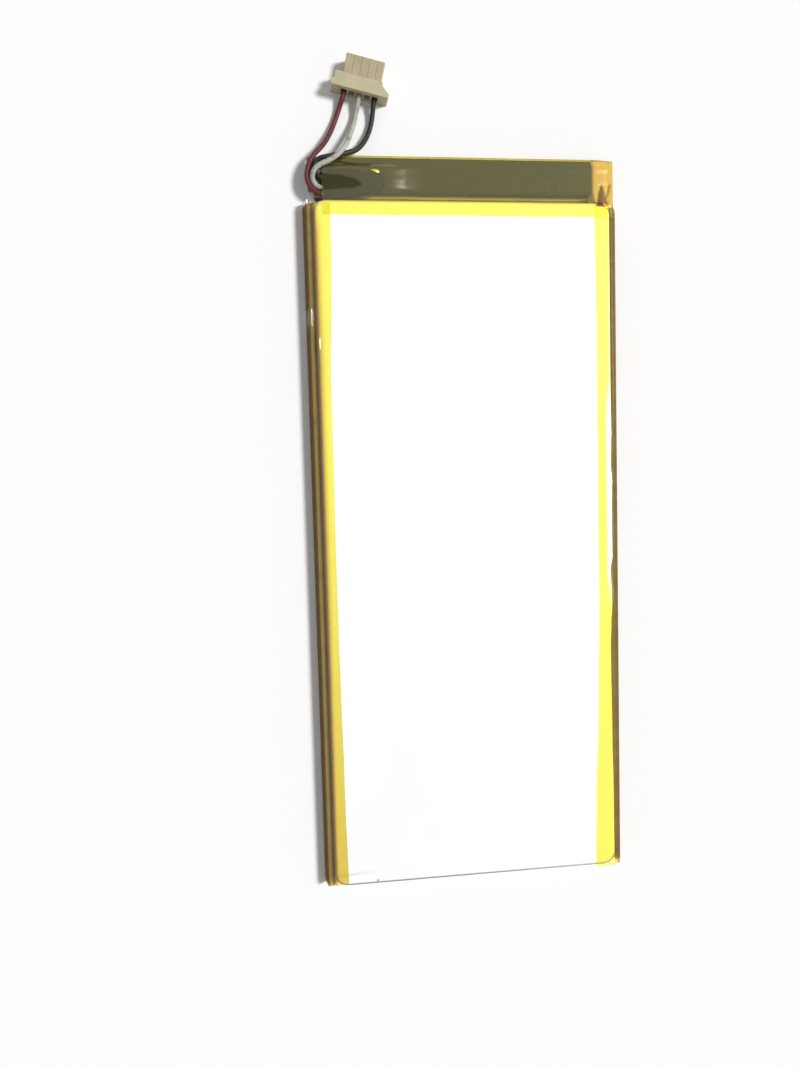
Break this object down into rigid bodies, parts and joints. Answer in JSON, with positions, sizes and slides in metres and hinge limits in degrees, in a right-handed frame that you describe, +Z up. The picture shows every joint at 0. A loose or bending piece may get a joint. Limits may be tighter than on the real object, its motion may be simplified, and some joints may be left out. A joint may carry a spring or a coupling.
{
  "type": "tablet battery",
  "caption": "Thin flat lithium pouch battery with taped edges, a narrow protection board folded under tape at one end, and short leads to a small wire-to-board plug.",
  "frame": {"origin": "middle of the pack's underside, on the surface it lies on", "axes": "+Z up through the pack's thickness, out of the drawn face; +Y along the pack, towards the end with the protection board and the leads; +X across it"},
  "size_m": [0.052, 0.1354, 0.004],
  "materials": {
    "pouch_foil": "satin laminate foil",
    "polyimide_tape": "smooth amber film",
    "insulating_paper": "matt",
    "aluminium_tab": "mill",
    "nickel": "satin",
    "solder_mask": "semi-matt lacquer",
    "chip_epoxy": "moulded",
    "chip_ceramic": "fired",
    "solder": "bright",
    "red_insulation": "extruded",
    "white_insulation": "extruded",
    "black_insulation": "extruded",
    "natural_nylon": "moulded",
    "tinned_bronze": "tinned"
  },
  "bodies": {
    "root": {"pouch_cell": "pouch_foil", "left_edge_tape": "polyimide_tape", "right_edge_tape": "polyimide_tape", "board_wrap_tape": "polyimide_tape", "terrace_insulator": "insulating_paper", "positive_tab": "aluminium_tab", "negative_tab": "nickel", "positive_weld_plate": "nickel", "negative_weld_plate": "nickel", "protection_board": "solder_mask", "protection_chip": "chip_epoxy", "switch_chip": "chip_epoxy", "supply_resistor": "chip_ceramic", "sense_resistor": "chip_ceramic", "filter_capacitor": "chip_ceramic", "output_capacitor": "chip_ceramic", "thermistor": "chip_ceramic", "red_solder_joint": "solder", "white_solder_joint": "solder", "black_solder_joint": "solder", "red_lead": "red_insulation", "white_lead": "white_insulation", "black_lead": "black_insulation", "connector_housing": "natural_nylon", "red_terminal": "tinned_bronze", "white_terminal": "tinned_bronze", "black_terminal": "tinned_bronze"}
  },
  "joints": []
}
